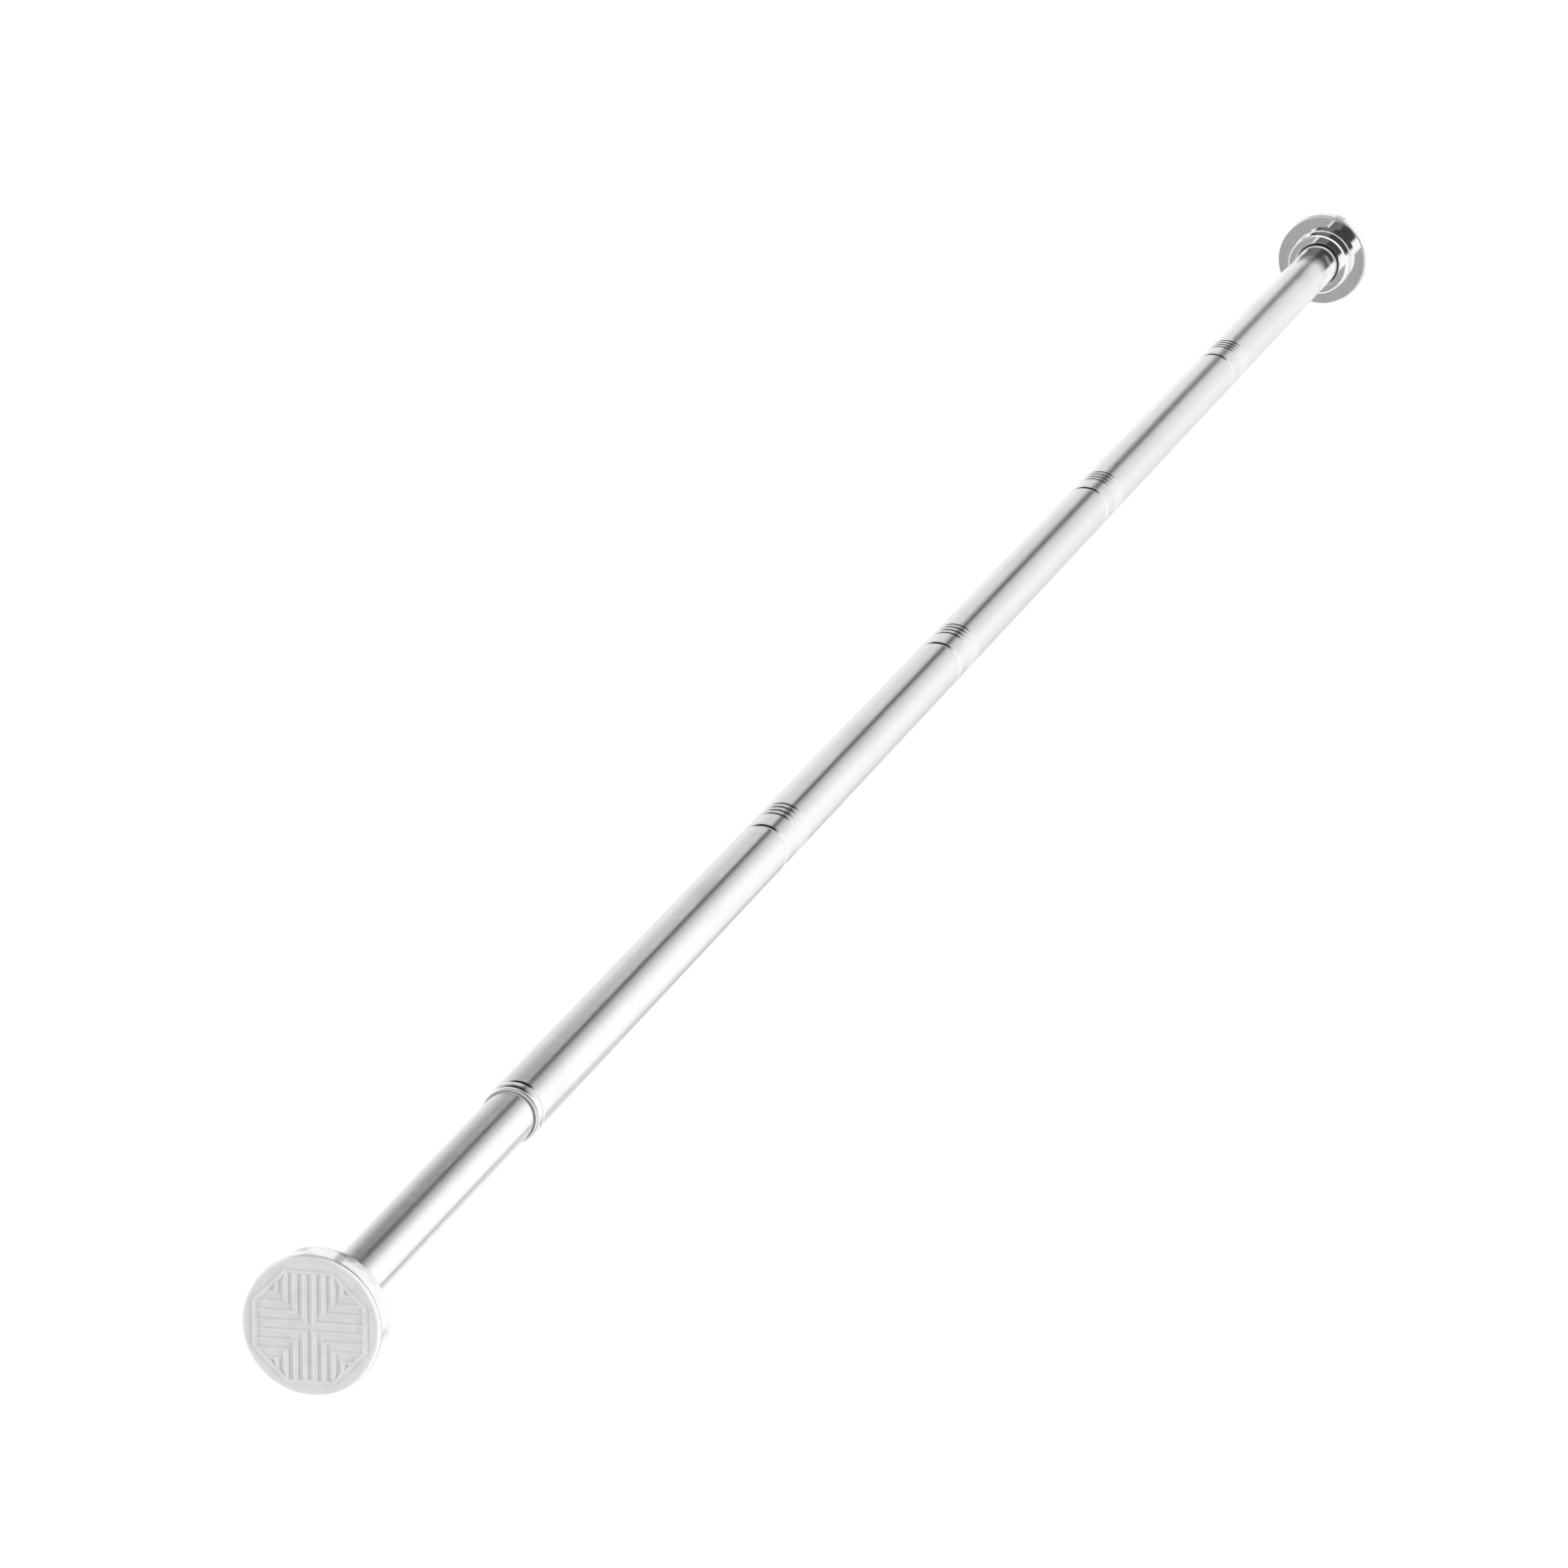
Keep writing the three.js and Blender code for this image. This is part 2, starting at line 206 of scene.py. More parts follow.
# Turns a closed outline of (x, radius) about X: every point at every angle, as one grid that
# joins up both ways.
def turnedGrid(outline, sides=roundSides):
    angle = np.linspace(0, 2 * np.pi, sides, endpoint=False)
    x = np.repeat(outline[:, :1], sides, axis=1)
    y = outline[:, 1:] * np.cos(angle)
    z = outline[:, 1:] * np.sin(angle)
    return np.stack([x, y, z], axis=2)


# The four corner numbers of each cell of a grid that joins up in the second direction, and in
# the first too if it is a ring.
def gridCells(rows, columns, ring):
    row = np.arange(rows if ring else rows - 1)[:, None]
    column = np.arange(columns)[None, :]
    nextRow = (row + 1) % rows
    nextColumn = (column + 1) % columns
    cells = [row * columns + column, row * columns + nextColumn,
             nextRow * columns + nextColumn, nextRow * columns + column]
    return np.stack(cells, axis=2).reshape(-1, 4)


# Makes a mesh object from a grid of points in millimetres. The enclosed volume, summed over the
# cells' two triangles, is made positive so that faces point out.
def gridPiece(name, grid, ring=True):
    rows, columns = grid.shape[:2]
    points = grid.reshape(-1, 3) * mm
    cells = gridCells(rows, columns, ring)
    a, b, c, d = (points[cells[:, k]] for k in range(4))
    volume = np.einsum("ij,ij->", a, np.cross(b, c) + np.cross(c, d))
    if volume < 0:
        cells = cells[:, ::-1]
    mesh = bpy.data.meshes.new(name)
    mesh.vertices.add(len(points))
    mesh.vertices.foreach_set("co", points.astype(np.float32).ravel())
    mesh.loops.add(cells.size)
    mesh.loops.foreach_set("vertex_index", cells.astype(np.int32).ravel())
    mesh.polygons.add(len(cells))
    mesh.polygons.foreach_set("loop_start", np.arange(0, cells.size, 4, dtype=np.int32))
    mesh.update(calc_edges=True)
    weld(mesh)
    mesh.shade_smooth()
    piece = bpy.data.objects.new(name, mesh)
    bpy.context.scene.collection.objects.link(piece)
    return piece


mergeDistance = 2e-7  # points closer than this become one
flatEdge = 1e-8  # edges shorter than this are removed


# Joins points that lie together, which closes poles and seams.
def weld(mesh):
    work = bmesh.new()
    work.from_mesh(mesh)
    bmesh.ops.remove_doubles(work, verts=work.verts, dist=mergeDistance)
    bmesh.ops.dissolve_degenerate(work, edges=work.edges, dist=flatEdge)
    work.to_mesh(mesh)
    work.free()


# Finishes a piece: hides the node that it stands for, puts it in the body that node moves with, and
# gives it its material.
def settle(piece, node, material):
    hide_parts(node)
    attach(piece, frame["nodes"][node]["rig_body"])
    piece.data.materials.append(material)
    return piece


# A node's extent along X and its outer radius, in millimetres.
def measure(node):
    low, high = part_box(node)
    return low.x / mm, high.x / mm, high.z / mm


def newMaterial(name):
    material = bpy.data.materials.new(name)
    material.use_nodes = True
    return material, Graph(material.node_tree)


# Ends a material in a Principled shader.
def finishMaterial(graph, sockets):
    shader = graph.node("ShaderNodeBsdfPrincipled", None, sockets)
    graph.node("ShaderNodeOutputMaterial", None, {"Surface": shader})


stainless = {"light": (0.86, 0.86, 0.865), "dark": (0.80, 0.80, 0.81), "roughness": 0.08,
             "grainRoughness": 0.04, "smudge": 0.04, "scratch": 2.1e-5,
             "grainScale": (1900, 25, 25), "bandScale": (420, 8, 8),
             "smudgeScale": (14, 40, 40), "smudgeEdge": (0.52, 0.72)}


# Stainless tube with a satin finish: fine grain round it, and broad faint smudges.
def stainlessMaterial(s):
    material, graph = newMaterial("satin stainless")
    grain = graph.noise(s["grainScale"], detail=2.0)
    bands = graph.noise(s["bandScale"], detail=3.0)
    smudged = graph.noise(s["smudgeScale"], detail=3.0).step(*s["smudgeEdge"])
    colour = graph.blendColour(bands * 0.5 + smudged * 0.5, s["light"], s["dark"])
    roughness = s["roughness"] + grain * s["grainRoughness"] + smudged * s["smudge"]
    finishMaterial(graph, {
        "Base Color": colour, "Metallic": 1.0, "Roughness": roughness,
        "Normal": graph.bump(grain, s["scratch"])})
    return material


chrome = {"light": (0.86, 0.865, 0.87), "dark": (0.78, 0.785, 0.80), "roughness": 0.035,
          "haze": 0.05, "hazeScale": (90, 90, 90), "hazeEdge": (0.45, 0.75),
          "ripple": 4e-6, "rippleScale": (55, 55, 55)}


# Polished chrome plate: nearly a mirror, with a slow ripple and a little haze.
def chromeMaterial(c):
    material, graph = newMaterial("chrome plate")
    haze = graph.noise(c["hazeScale"], detail=4.0).step(*c["hazeEdge"])
    ripple = graph.noise(c["rippleScale"], detail=1.0)
    finishMaterial(graph, {
        "Base Color": graph.blendColour(haze, c["light"], c["dark"]), "Metallic": 1.0,
        "Roughness": c["roughness"] + haze * c["haze"],
        "Normal": graph.bump(ripple, c["ripple"])})
    return material


rubber = {"light": (0.49, 0.49, 0.485), "dark": (0.46, 0.46, 0.455), "roughness": 0.55,
          "grain": 2.5e-5, "grainScale": (5200, 5200, 5200), "grainRoughness": 0.12,
          "cloudScale": (160, 160, 160), "cloudEdge": (0.35, 0.7), "specular": 0.35}


# Pale moulded rubber: a fine matt grain and a slight cloudiness.
def rubberMaterial(r):
    material, graph = newMaterial("pale rubber")
    cloud = graph.noise(r["cloudScale"], detail=3.0)
    grain = graph.noise(r["grainScale"], detail=2.0)
    finishMaterial(graph, {
        "Base Color": graph.blendColour(cloud.step(*r["cloudEdge"]), r["light"], r["dark"]),
        "Roughness": r["roughness"] + grain * r["grainRoughness"],
        "Specular IOR Level": r["specular"],
        "Normal": graph.bump(grain, r["grain"])})
    return material


plastics = {
    "liner": {"light": (0.42, 0.42, 0.425), "dark": (0.36, 0.36, 0.365), "roughness": 0.30},
    "core": {"light": (0.80, 0.79, 0.75), "dark": (0.72, 0.70, 0.66), "roughness": 0.42},
}
moulding = {"flowScale": (30, 120, 120), "flowRoughness": 0.1, "peelScale": (1800, 1800, 1800),
            "peel": 1.2e-5}


# Moulded plastic: faint flow marks and a light orange-peel grain.
def plasticMaterial(name, p):
    material, graph = newMaterial(name)
    flow = graph.noise(moulding["flowScale"], detail=3.0)
    peel = graph.noise(moulding["peelScale"], detail=1.0)
    finishMaterial(graph, {
        "Base Color": graph.blendColour(flow, p["light"], p["dark"]),
        "Roughness": p["roughness"] + flow * moulding["flowRoughness"],
        "Normal": graph.bump(peel, moulding["peel"])})
    return material


machined = {
    "zinc": {"light": (0.70, 0.71, 0.73), "dark": (0.55, 0.57, 0.60), "roughness": 0.26},
    "brass": {"light": (0.83, 0.66, 0.34), "dark": (0.70, 0.52, 0.24), "roughness": 0.22},
}
turning = {"ringScale": (2400, 12, 12), "ringRoughness": 0.12, "ringHeight": 6e-6,
           "cloudScale": (150, 150, 150), "cloudRoughness": 0.08}


# Turned metal: rings round the axis from the tool, and a cloudy plating or tarnish.
def machinedMaterial(name, m):
    material, graph = newMaterial(name)
    rings = graph.noise(turning["ringScale"], detail=2.0)
    cloud = graph.noise(turning["cloudScale"], detail=4.0)
    worn = rings * turning["ringRoughness"] + cloud * turning["cloudRoughness"]
    finishMaterial(graph, {
        "Base Color": graph.blendColour(cloud, m["light"], m["dark"]), "Metallic": 1.0,
        "Roughness": m["roughness"] + worn,
        "Normal": graph.bump(rings, turning["ringHeight"])})
    return material


finishes = {
    "tube_steel": stainlessMaterial(stainless),
    "flange_chrome": chromeMaterial(chrome),
    "pad_rubber": rubberMaterial(rubber),
    "core_plastic": plasticMaterial("natural nylon", plastics["core"]),
    "liner_plastic": plasticMaterial("dark liner plastic", plastics["liner"]),
    "hardware_zinc": machinedMaterial("bright zinc", machined["zinc"]),
    "nut_brass": machinedMaterial("machined brass", machined["brass"]),
}


# Gives every node of the frame its slot's material.
def paintFrame():
    for part in frame["record"]["subparts"]:
        mesh = frame["nodes"][part["node"]].data
        mesh.materials.clear()
        mesh.materials.append(finishes[part["material_slot"]])


paintFrame()
print("materials made")

tube = {"wall": 1.0, "endLength": 2.5, "endDrop": 0.93, "grooves": 4, "firstGroove": 23.0,
        "groovePitch": 6.2, "grooveWidth": 2.6, "grooveDepth": 0.45, "lead": 0.4, "sharp": 0.02,
        "endSteps": 10, "grooveSteps": 17, "levelShare": 0.6}


# A tube's outline: the outer line, turned in at both ends along a quarter of an ellipse, then
# the bore. Points set just beside a bend keep the shading level on the long straight parts.
def tubeOutline(x0, x1, radius, t):
    turn = np.linspace(0, np.pi / 2, t["endSteps"])
    length, drop, sharp = t["endLength"], t["endDrop"], t["sharp"]
    inward = length * np.sin(turn)
    height = radius - drop * (1 - np.cos(turn))
    bore = radius - t["wall"]
    start = np.stack([x0 + length - inward, height], axis=1)[::-1]
    end = np.stack([x1 - length + inward, height], axis=1)
    outer = [(x0 + length + t["lead"], radius)], [(x1 - length - t["lead"], radius)]
    right = [(x1, bore + sharp), (x1, bore), (x1 - sharp, bore)]
    left = [(x0 + sharp, bore), (x0, bore), (x0, bore + sharp)]
    return np.concatenate([start, outer[0], outer[1], end, right, left])


# Presses the rolled grooves into the outer line: each is one wave of a cosine, at its own
# distance from the tube's far end, with a level point just outside it on both sides.
def grooveLine(x1, radius, t):
    share = np.linspace(-0.5, 0.5, t["grooveSteps"])
    wave = 0.5 * (1 + np.cos(2 * np.pi * share))
    share = np.concatenate([[-t["levelShare"]], share, [t["levelShare"]]])
    wave = np.concatenate([[0], wave, [0]])
    place = x1 - t["firstGroove"] - np.arange(t["grooves"])[::-1] * t["groovePitch"]
    x = place[:, None] + share * t["grooveWidth"]
    r = np.broadcast_to(radius - t["grooveDepth"] * wave, x.shape)
    return np.stack([x, r], axis=2).reshape(-1, 2)


# Puts the groove points into an outline, in their place along the outer line.
def withGrooves(outline, x1, radius, t):
    line = grooveLine(x1, radius, t)
    before = (np.abs(outline[:, 1] - radius) < 1e-6) & (outline[:, 0] < line[0, 0])
    cut = np.nonzero(before)[0].max() + 1
    return np.concatenate([outline[:cut], line, outline[cut:]])


# Each tube runs over its node's own extent. The main tubes have grooves, apart from the last.
def makeTubes():
    for name in ["inner_tube"] + [f"main_tube_{i}" for i in range(1, 6)]:
        x0, x1, radius = measure(name)
        outline = tubeOutline(x0, x1, radius, tube)
        if name.startswith("main_tube_") and not name.endswith("5"):
            outline = withGrooves(outline, x1, radius, tube)
        piece = gridPiece(name + "_fine", turnedGrid(outline))
        settle(piece, name, finishes["tube_steel"])


makeTubes()
print("tubes made")

mouth = {"collarBore": 11.5, "collarEdge": 0.9, "boreEdge": 0.1, "linerBore": 11.08,
         "linerBody": 11.4, "linerEdge": 0.12, "tailEdges": (0.05, 0.1), "shoulderEdge": 0.02,
         "flangeThickness": 0.8, "flangeRadius": 11.75}


# The collar is a turned ring with two soft outer edges. The liner is a turned sleeve inside it,
# with a flange at its front.
def makeMouth(m):
    x0, x1, radius = measure("mouth_collar")
    bore = m["collarBore"]
    outline = roundedOutline([(x0, radius), (x1, radius), (x1, bore), (x0, bore)],
                             [m["collarEdge"], m["collarEdge"], m["boreEdge"], m["boreEdge"]])
    collar = gridPiece("mouth_collar_fine", turnedGrid(outline))
    settle(collar, "mouth_collar", finishes["tube_steel"])
    y0, y1, _ = measure("mouth_liner")
    shoulder = y1 - m["flangeThickness"]
    edge = m["linerEdge"]
    outline = roundedOutline(
        [(y0, m["linerBore"]), (y0, m["linerBody"]), (shoulder, m["linerBody"]),
         (shoulder, m["flangeRadius"]), (y1, m["flangeRadius"]), (y1, m["linerBore"])],
        [*m["tailEdges"], m["shoulderEdge"], edge, 2 * edge, edge])
    liner = gridPiece("mouth_liner_fine", turnedGrid(outline))
    settle(liner, "mouth_liner", finishes["liner_plastic"])


makeMouth(mouth)
print("mouth made")

shell = {"lip": 2.5, "disc": 14.5, "tierFront": 29.5, "rimRadius": 27.8, "tierRadius": 18.3,
         "wall": 1.2, "lipEdge": 0.35, "rimRound": 1.2, "tierFillet": 0.5, "tierBevel": 0.8,
         "boreBevel": 1.2, "boreClearance": 0.4, "soft": 0.12, "backStep": 0.01,
         "tierCorner": 0.3, "rimCorner": 0.6, "roundSteps": 7, "sides": 192}


# The shell's outline from the lip over the rim, disc and tier to the bore, and back inside.
def shellOutline(s, tubeRadius):
    bore = tubeRadius + s["boreClearance"]
    inside = s["rimRadius"] - s["wall"]
    inner = s["tierRadius"] - s["wall"]
    front, disc, lip, soft = s["tierFront"], s["disc"], s["lip"], s["soft"]
    points = [
        (lip, inside, s["lipEdge"]), (lip, s["rimRadius"], s["lipEdge"]),
        (disc, s["rimRadius"], s["rimRound"]), (disc, s["tierRadius"], s["tierFillet"]),
        (front - s["tierBevel"], s["tierRadius"], soft),
        (front, s["tierRadius"] - s["tierBevel"], soft),
        (front, bore + s["boreBevel"], soft), (front - s["boreBevel"], bore, soft),
        (front - s["boreBevel"] - s["backStep"], inner, soft),
        (disc - s["wall"], inner, s["tierCorner"]), (disc - s["wall"], inside, s["rimCorner"])]
    corners = np.array(points)
    return roundedOutline(corners[:, :2], corners[:, 2], steps=s["roundSteps"])


# Moves a grid made from the wall plane at x = 0 to the end it belongs to. The moving end faces
# the other way, so it is turned half round about Z.
def atEnd(grid, end):
    if end == "fixed":
        return grid
    wall = measure("moving_pad")[1]
    return grid * np.array([-1, -1, 1]) + np.array([wall, 0, 0])


# Each shell's bore fits the tube that it stands on.
def makeShells(s):
    tubes = {"fixed": "main_tube_1", "moving": "inner_tube"}
    for end, tubeName in tubes.items():
        outline = shellOutline(s, measure(tubeName)[2])
        grid = atEnd(turnedGrid(outline, s["sides"]), end)
        piece = gridPiece(end + "_shell_fine", grid)
        settle(piece, end + "_shell", finishes["flange_chrome"])


makeShells(shell)
print("flange shells made")

pad = {"radius": 27.4, "plug": 26.1, "face": 0.5, "apronBack": 2.2, "back": 7.0,
       "edgeWidth": 2.4, "edgeDepth": 1.6, "apothem": 21.6, "pitch": 3.76, "ridges": 4,
       "ridgeTop": 0.28, "ridgeFoot": 0.98, "topShare": 0.6, "footMargin": 0.12,
       "flankSteps": 7, "edgeSteps": 12, "small": 0.1, "beside": 0.1}


# A ridge's height over the face: full on its flat top, then half a cosine wave to its foot.
def ridgeHeight(distance, p):
    share = np.clip((distance - p["ridgeTop"]) / (p["ridgeFoot"] - p["ridgeTop"]), 0, 1)
    return p["face"] * 0.5 * (1 + np.cos(np.pi * share))


# Distances from a ridge's middle where the grid has a line.
def ridgeLines(p):
    flank = np.linspace(p["ridgeTop"], p["ridgeFoot"], p["flankSteps"])
    top = [0, p["topShare"] * p["ridgeTop"]]
    return np.concatenate([top, flank, [p["ridgeFoot"] + p["footMargin"]]])


# The grid's lines across one quarter of the field: round each ridge, and where the border's
# own lines meet the diagonal.
def acrossLines(p):
    middle = (np.arange(p["ridges"]) + 0.5) * p["pitch"]
    lines = ridgeLines(p)
    near = np.concatenate([middle[:, None] + lines, middle[:, None] - lines]).ravel()
    corner = (p["apothem"] - lines) / math.sqrt(2)
    kink = [p["apothem"] * math.tan(math.pi / 8)]
    half = np.concatenate([near, corner, kink])
    half = half[(half > 1e-6) & (half <= p["apothem"] / math.sqrt(2) + 1e-9)]
    return np.unique(np.round(np.concatenate([-half, [0], half]), 5))


# Where a column at this offset meets an octagon of the given apothem: on its flat side, or on
# its slanted one, where offset and height add up to the apothem times the root of two.
def octagonTop(offset, apothem):
    return np.minimum(apothem, apothem * math.sqrt(2) - np.abs(offset))


# One quarter of the pad as a grid. Rows run from the diagonals to the border, over it, out to
# the round edge, down the side and to the middle of the back. The second row is just beside the
# diagonals, so that the shading does not drift along the ridges.
def padQuarter(p):
    offset = acrossLines(p)
    lines = np.sort(ridgeLines(p))[::-1]
    inner = octagonTop(offset, p["apothem"] - lines[0])
    beside = np.maximum(np.abs(offset), np.minimum(np.abs(offset) + p["beside"], inner))
    rows = [np.stack([offset, np.abs(offset)], axis=1), np.stack([offset, beside], axis=1)]
    for line in lines:
        top = octagonTop(offset, p["apothem"] - line)
        rows.append(np.stack([offset, np.maximum(np.abs(offset), top)], axis=1))
    border = np.stack([offset, octagonTop(offset, p["apothem"])], axis=1)
    for line in lines[::-1][1:]:
        rows.append(border * (1 + line / p["apothem"]))
    depth = [p["face"] - fieldHeight(row, p) for row in rows]
    outward = border / np.linalg.norm(border, axis=1, keepdims=True)
    for radius, place in edgeOutline(p):
        rows.append(outward * radius)
        depth.append(np.full(len(offset), place))
    flat = np.stack(rows)
    return np.concatenate([np.stack(depth)[:, :, None], flat], axis=2)


# Height of the ribbed field: the higher of the ridge in this column and the octagonal border.
def fieldHeight(row, p):
    offset = np.abs(row[:, 0])
    middle = (np.clip(np.round(offset / p["pitch"] - 0.5), 0, p["ridges"] - 1) + 0.5) * p["pitch"]
    ridge = ridgeHeight(np.abs(offset - middle), p)
    slant = (offset + row[:, 1]) / math.sqrt(2)
    fromBorder = np.abs(np.maximum(row[:, 1], slant) - p["apothem"])
    inside = np.maximum(row[:, 1], slant) < p["apothem"]
    return np.maximum(np.where(inside, ridge, 0), ridgeHeight(fromBorder, p))


# Radius and depth of the pad's outline: from its face round the apron's soft edge, a quarter of
# an ellipse, behind the apron to the plug, and over the plug's back to the middle.
def edgeOutline(p):
    turn = np.linspace(0, np.pi / 2, p["edgeSteps"])
    radius = p["radius"] - p["edgeWidth"] * (1 - np.sin(turn))
    place = p["face"] + p["edgeDepth"] * (1 - np.cos(turn))
    small, plug = p["small"], p["plug"]
    rest = [(p["radius"] - small, p["apronBack"]), (plug + small, p["apronBack"]),
            (plug, p["apronBack"] + small), (plug, p["back"] - small), (plug - small, p["back"]),
            (0.5 * plug, p["back"]), (0, p["back"])]
    return np.concatenate([np.stack([radius, place], axis=1), rest])


# Four turned quarters side by side.
def padGrid(p):
    quarter = padQuarter(p)[:, ::-1]
    turns = []
    for k in range(4):
        c, s = round(math.cos(k * math.pi / 2)), round(math.sin(k * math.pi / 2))
        y = c * quarter[:, :, 1] - s * quarter[:, :, 2]
        z = s * quarter[:, :, 1] + c * quarter[:, :, 2]
        turns.append(np.stack([quarter[:, :, 0], y, z], axis=2))
    return np.concatenate(turns, axis=1)


# The same pad at both ends.
def makePads(p):
    for end in ("fixed", "moving"):
        piece = gridPiece(end + "_pad_fine", atEnd(padGrid(p), end), ring=False)
        settle(piece, end + "_pad", finishes["pad_rubber"])


makePads(pad)
print("pads made")

studio = {
    "floorHeight": -1.1, "floorSize": 120.0, "floorColour": 0.93, "floorRoughness": 0.9,
    "lights": {
        "overhead light": {"source": (-0.34, 0, 0.94), "energy": 2.2, "softness": 40.0},
        "moving end light": {"source": (0.35, -0.94, 0), "energy": 4.2, "softness": 10.0},
        "fixed end light": {"source": (-0.35, -0.94, 0), "energy": 4.2, "softness": 10.0},
        "moving edge light": {"source": (-0.2, 0.98, 0), "energy": 3.2, "softness": 4.0},
        "fixed edge light": {"source": (0.2, 0.98, 0), "energy": 3.2, "softness": 4.0},
    },
}


# A large pale floor. The metal does not mirror it, and mirrors the studio's light instead.
def makeFloor(s):
    half = s["floorSize"] / 2
    corners = [(-half, -half), (half, -half), (half, half), (-half, half)]
    mesh = bpy.data.meshes.new("floor")
    mesh.from_pydata([(x, y, s["floorHeight"]) for x, y in corners], [], [(0, 1, 2, 3)])
    floor = bpy.data.objects.new("floor", mesh)
    floor.visible_glossy = False
    bpy.context.scene.collection.objects.link(floor)
    material, graph = newMaterial("pale floor")
    shade = s["floorColour"]
    finishMaterial(graph, {"Base Color": (shade, shade, shade, 1), "Roughness": s["floorRoughness"]})
    mesh.materials.append(material)


# A light from far away in the direction of its source, left out of reflections. Its softness is
# how wide it looks, in degrees.
def makeLight(name, light):
    lamp = bpy.data.lights.new(name, "SUN")
    lamp.energy = light["energy"]
    lamp.angle = math.radians(light["softness"])
    holder = bpy.data.objects.new(name, lamp)
    holder.rotation_euler = Vector(light["source"]).to_track_quat("Z", "Y").to_euler()
    holder.visible_glossy = False
    bpy.context.scene.collection.objects.link(holder)


# One light overhead keeps the floor white. At each end one from -Y rakes over the pad's face, and
# one from +Y, behind the plane of that face, reaches only the pad's round edge.
def makeLights(s):
    for name, light in s["lights"].items():
        makeLight(name, light)


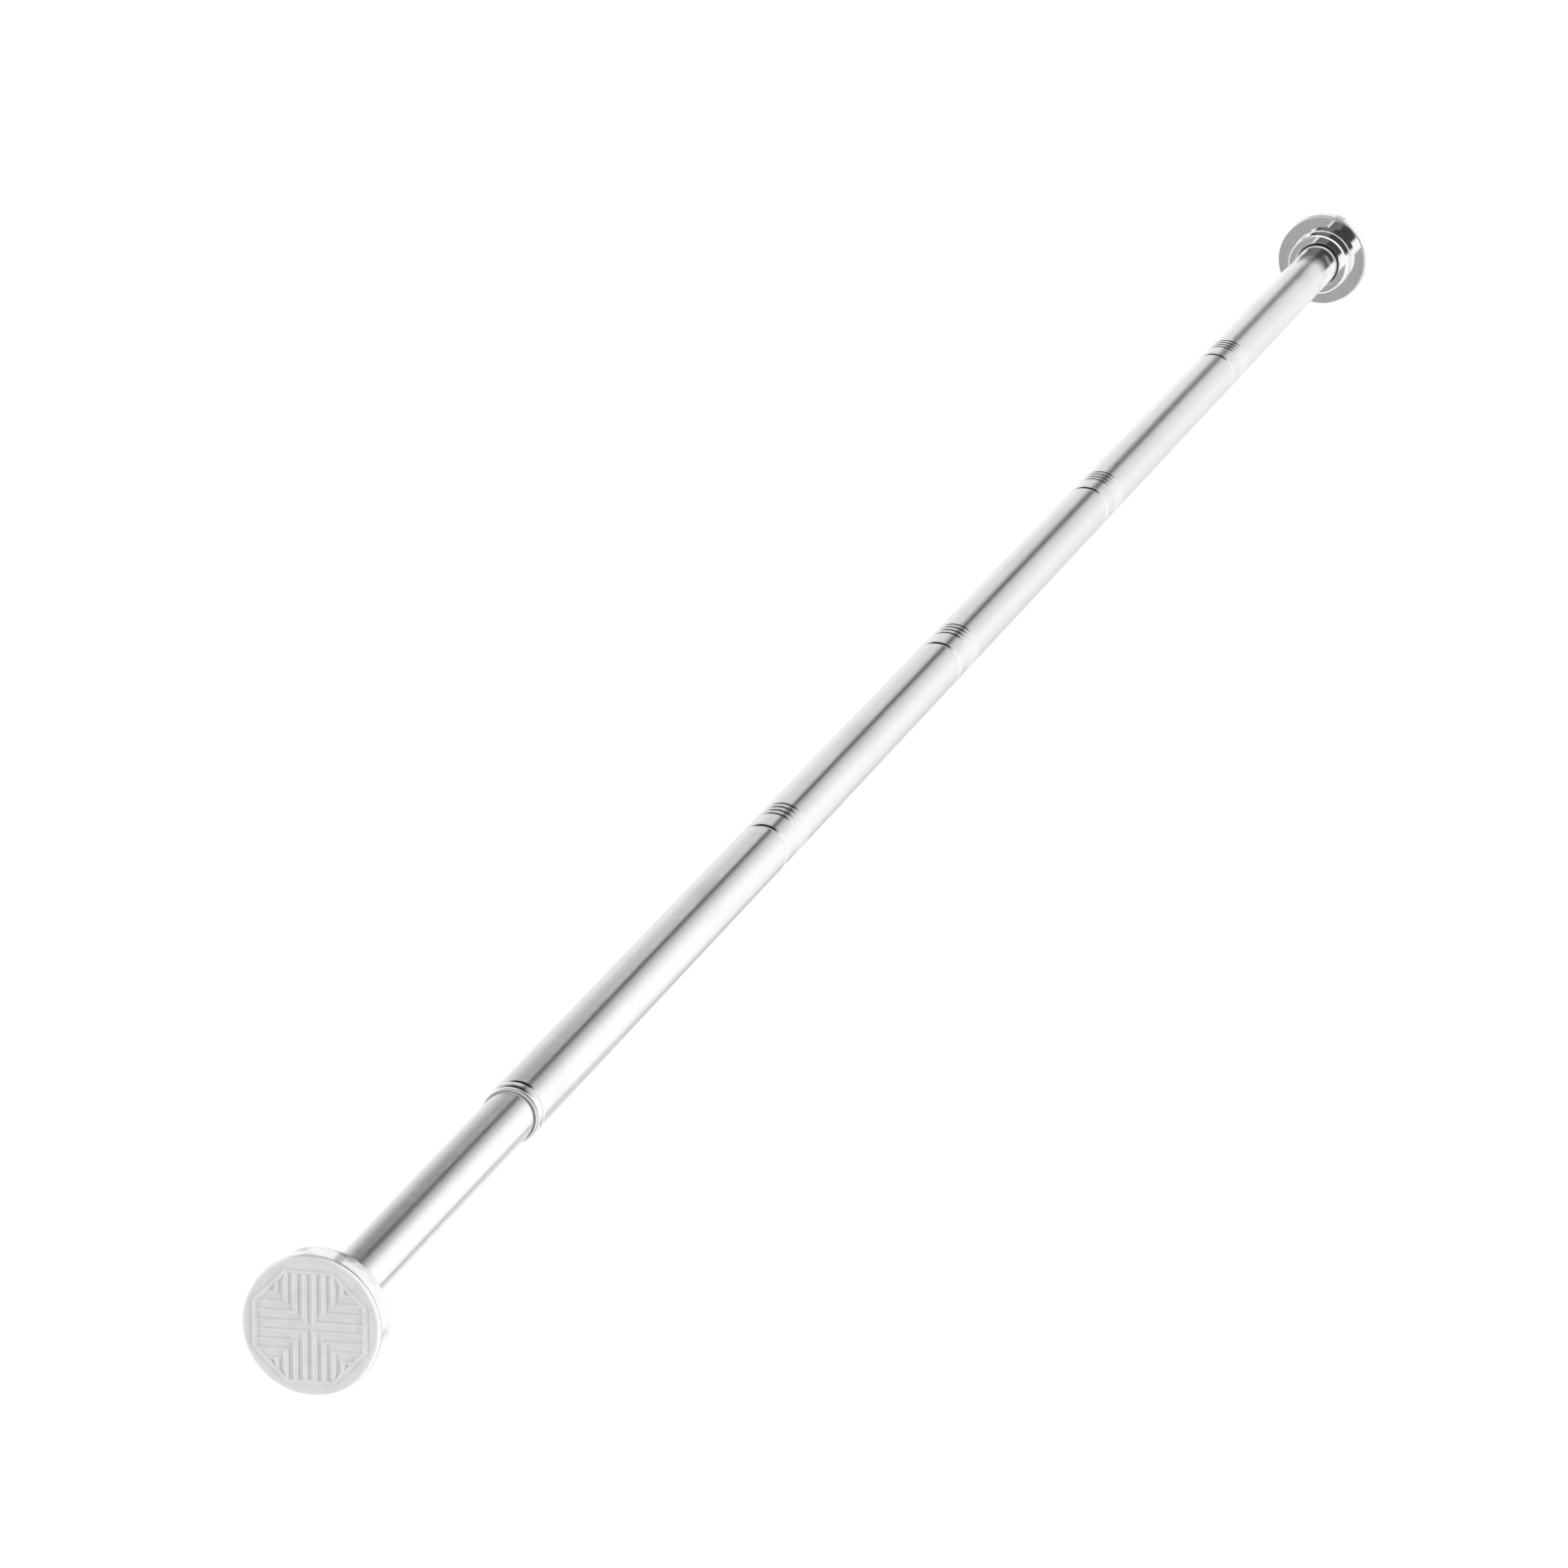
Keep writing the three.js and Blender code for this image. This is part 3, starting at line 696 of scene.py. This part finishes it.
# The studio's light by its direction. A direction belongs to a ring by its angle from -X, where
# the fixed end points. Each ring is a list of (degrees from +Y towards +Z, level), with straight
# steps between its stops. Each pair in blends is where one ring in order gives way to the next.
sky = {
    "strength": 1.2,
    "cameraLevel": 1.05,
    "rampTop": 2.0,
    "blends": [(12.0, 13.0), (14.2, 14.35), (15.4, 18.3), (19.0, 20.2), (21.2, 22.2),
               (23.2, 23.4), (23.5, 23.56), (23.8, 24.0), (27, 35), (66, 76), (94, 101),
               (118, 130), (148, 156)],
    "backdrop": [(-180, 0.45), (45, 0.45), (58, 0.1), (112, 0.1), (125, 0.45), (180, 0.45)],
    "farRim": [(-180, 0.92), (74, 0.92), (80, 0.60), (98, 0.60), (104, 0.92), (180, 0.92)],
    "farTubes": [(-180, 0.86), (-100, 0.70), (-58, 0.74), (-12, 0.80), (1, 0.76), (25, 0.68),
                 (48, 0.62), (60, 0.54), (68, 0.40), (76, 0.20), (83, 0.11), (106, 0.08),
                 (112, 0.52), (137, 0.65), (154, 0.72), (180, 0.84)],
    "middleTubes": [(-180, 0.78), (-95, 0.62), (-80, 0.62), (-58, 0.72), (-41, 0.80), (-12, 0.88),
                    (13, 0.84), (25, 0.76), (48, 0.63), (60, 0.55), (70, 0.42), (76, 0.26),
                    (81, 0.13), (87, 0.15), (92, 0.36), (98, 0.64), (110, 0.68), (137, 0.68),
                    (154, 0.72), (180, 0.78)],
    "mouthTube": [(-180, 0.76), (-106, 0.72), (-92, 0.44), (-82, 0.48), (-72, 0.78), (-56, 0.96),
                  (-20, 1.0), (5, 1.0), (25, 0.88), (48, 0.66), (60, 0.50), (70, 0.34),
                  (75, 0.20), (80, 0.11), (84, 0.24), (88, 0.50), (93, 0.66), (108, 0.60),
                  (137, 0.65), (154, 0.76), (180, 0.74)],
    "innerTube": [(-180, 0.72), (-100, 0.78), (-72, 0.70), (-65, 0.45), (-57, 0.40), (-48, 0.80),
                  (-30, 0.98), (10, 1.0), (25, 0.88), (37, 0.70), (48, 0.44), (60, 0.28),
                  (71, 0.10), (78, 0.02), (81, 0.0), (86, 0.0), (89, 0.03), (94, 0.04),
                  (108, 0.02), (122, 0.10), (137, 0.26), (154, 0.43), (180, 0.68)],
    "rimBack": [(-180, 0.92), (-80, 0.92), (-76, 0.08), (-56, 0.08), (-52, 0.92), (79, 0.92),
                (84, 0.52), (93, 0.52), (98, 0.92), (180, 0.92)],
    "movingRim": [(-180, 0.92), (79, 0.92), (84, 0.52), (93, 0.52), (98, 0.92), (180, 0.92)],
    "overhead": [(-180, 0.92), (0, 1.0), (40, 0.9), (54, 0.4), (62, 0.02), (120, 0.02),
                 (127, 0.35), (138, 0.85), (180, 0.92)],
    "sides": [(-180, 0.85), (-130, 0.70), (-95, 0.90), (-65, 1.0), (20, 0.95), (40, 0.85),
              (54, 0.3), (62, 0.06), (118, 0.06), (127, 0.35), (140, 0.80), (180, 0.85)],
    "besideCamera": [(-180, 1.05), (180, 1.05)],
    "front": [(-180, 1.0), (-90, 0.9), (-60, 0.1), (70, 0.1), (100, 0.9), (180, 1.0)],
    "behindCamera": [(-180, 1.2), (-176, 1.1), (-172, 0.36), (-118, 0.36), (-104, 1.0),
                     (-14, 1.0), (-4, 0.06), (88, 0.05), (98, 0.16), (140, 0.16), (150, 0.06),
                     (165, 0.08), (170, 1.1), (180, 1.2)],
    "order": ["backdrop", "farRim", "farTubes", "middleTubes", "mouthTube", "innerTube",
              "rimBack", "movingRim", "innerTube", "overhead", "sides", "besideCamera", "front",
              "behindCamera"],
}


# The world's level is ring 1, then each next ring mixed over it by an S curve of the angle from
# -X. A ramp holds levels up to 1, so they are divided by rampTop in it and multiplied after it.
# What the camera sees directly is one plain level.
def makeSky(s):
    world = bpy.data.worlds.new("studio light")
    bpy.context.scene.world = world
    world.use_nodes = True
    graph = Graph(world.node_tree)
    direction = graph.node("ShaderNodeTexCoord", output=0)
    x, y, z = (graph.node("ShaderNodeSeparateXYZ", None, {0: direction}, output=k)
               for k in range(3))
    around = x.math("ARCTAN2", z, y) / (2 * math.pi) + 0.5
    fromBack = x.math("ARCCOSINE", 0 - x) * (180 / math.pi)
    levels = []
    for ring in s["order"]:
        stops = [((angle + 180) / 360, (level / s["rampTop"],) * 3) for angle, level in s[ring]]
        ramp = graph.node("ShaderNodeValToRGB", {"stops": stops}, {"Fac": around})
        levels.append(ramp * s["rampTop"])
    level = levels[0]
    for (low, high), outer in zip(s["blends"], levels[1:]):
        share = fromBack.step(low, high)
        level = level * (1 - share) + outer * share
    seen = graph.node("ShaderNodeLightPath", output="Is Camera Ray")
    shown = level * s["strength"] * (1 - seen) + s["cameraLevel"] * seen
    background = graph.node("ShaderNodeBackground", None, {
        "Color": graph.node("ShaderNodeCombineColor", None, {0: shown, 1: shown, 2: shown})})
    graph.node("ShaderNodeOutputWorld", None, {"Surface": background})


makeFloor(studio)
makeLights(studio)
makeSky(sky)
bpy.context.scene.view_settings.view_transform = "Standard"
print("studio made")
